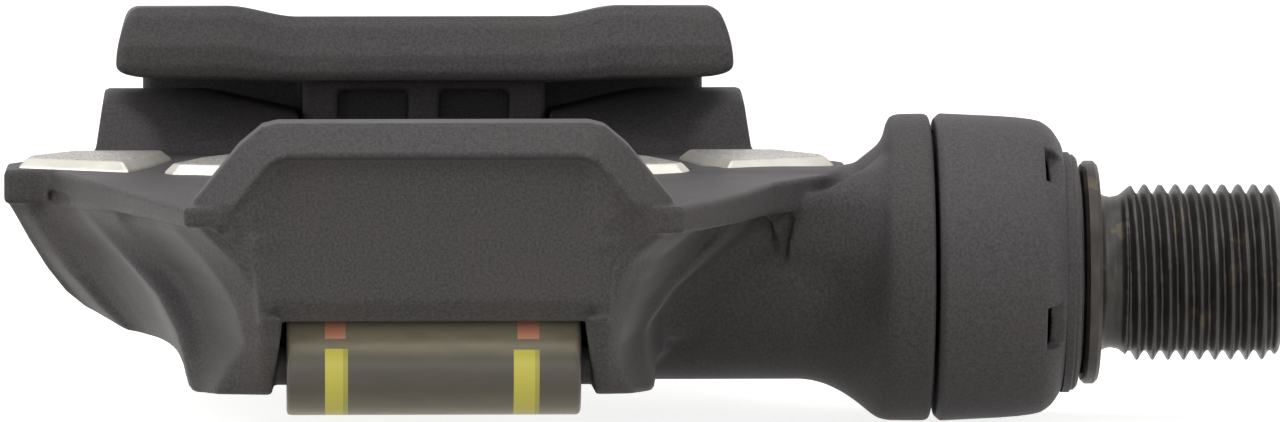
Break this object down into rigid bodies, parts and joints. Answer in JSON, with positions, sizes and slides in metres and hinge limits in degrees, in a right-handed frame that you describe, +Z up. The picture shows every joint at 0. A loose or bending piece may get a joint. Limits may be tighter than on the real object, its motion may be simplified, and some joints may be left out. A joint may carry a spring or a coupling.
{
  "type": "clipless pedal",
  "caption": "Right-hand clipless road pedal with a wide platform, arched nose, sprung rear claw on a leaf spring, and a round power-measuring pod beside the crank thread.",
  "frame": {"origin": "crank-side face of the crank washer, on the spindle axis", "axes": "+X along the spindle towards the crank, +Y towards the rider's heel, +Z up out of the platform"},
  "size_m": [0.1033, 0.0836, 0.0328],
  "materials": {
    "spindle_steel": "black-treated chrome-molybdenum steel, oily thread",
    "washer_steel": "black-treated steel washer",
    "pod_composite": "moulded fibre-filled plastic, fine grain",
    "body_composite": "moulded carbon-filled plastic, fine grain",
    "circuit_board": "green solder mask",
    "battery_wrap": "silver pouch foil",
    "gauge_foil": "amber backing film with etched foil",
    "bearing_steel": "ground bearing steel",
    "spacer_alloy": "turned aluminium",
    "seal_rubber": "black nitrile",
    "cage_plastic": "natural polyamide",
    "pad_steel": "bead-blasted stainless steel with ground edges",
    "blade_laminate": "lacquered fibre laminate with two yellow and two red bands"
  },
  "bodies": {
    "spindle_unit": {"spindle": "spindle_steel", "crank_washer": "washer_steel", "pod_housing": "pod_composite", "pod_end_ring": "pod_composite", "pod_back_cover": "pod_composite", "sensor_board": "circuit_board", "pod_battery": "battery_wrap", "strain_gauges": "gauge_foil", "bearing_inner_races": "bearing_steel", "spindle_nut": "bearing_steel"},
    "platform": {"pedal_body": "body_composite", "pad_outboard_outer": "pad_steel", "pad_outboard_inner": "pad_steel", "pad_inboard_inner": "pad_steel", "pad_inboard_outer": "pad_steel", "claw_pin": "bearing_steel", "needle_shell": "bearing_steel", "bearing_spacer": "spacer_alloy", "bearing_lock_ring": "spacer_alloy", "bearing_outer_races": "bearing_steel", "collar_seal": "seal_rubber"},
    "ball_train": {"bearing_balls": "bearing_steel", "ball_cages": "cage_plastic"},
    "needle_train": {"needle_rollers": "bearing_steel", "needle_cage": "cage_plastic"},
    "claw": {"rear_claw": "body_composite", "claw_bushes": "cage_plastic", "heel_shoe": "pad_steel"},
    "leaf": {"blade_spring": "blade_laminate"}
  },
  "joints": [
    {"name": "platform_spin", "type": "hinge", "parent": "spindle_unit", "child": "platform", "pos_m": [0, 0, 0], "axis": [1, 0, 0], "continuous": true},
    {"name": "ball_train_spin", "type": "hinge", "parent": "spindle_unit", "child": "ball_train", "pos_m": [0, 0, 0], "axis": [1, 0, 0], "continuous": true},
    {"name": "needle_train_spin", "type": "hinge", "parent": "spindle_unit", "child": "needle_train", "pos_m": [0, 0, 0], "axis": [1, 0, 0], "continuous": true},
    {"name": "claw_open", "type": "hinge", "parent": "platform", "child": "claw", "pos_m": [-0.0542, 0.031, 0.0015], "axis": [-1, 0, 0], "range_deg": [0, 15], "stiffness_Nm_per_rad": 3, "springref_deg": -11.46},
    {"name": "leaf_flex", "type": "hinge", "parent": "platform", "child": "leaf", "pos_m": [-0.0542, -0.037, -0.0044], "axis": [-1, 0, 0], "range_deg": [0, 1.2]}
  ],
  "couplings": [
    {"joint": "ball_train_spin", "follows": "platform_spin", "ratio": 0.6158},
    {"joint": "needle_train_spin", "follows": "platform_spin", "ratio": 0.569},
    {"joint": "leaf_flex", "follows": "claw_open", "ratio": 0.076}
  ]
}
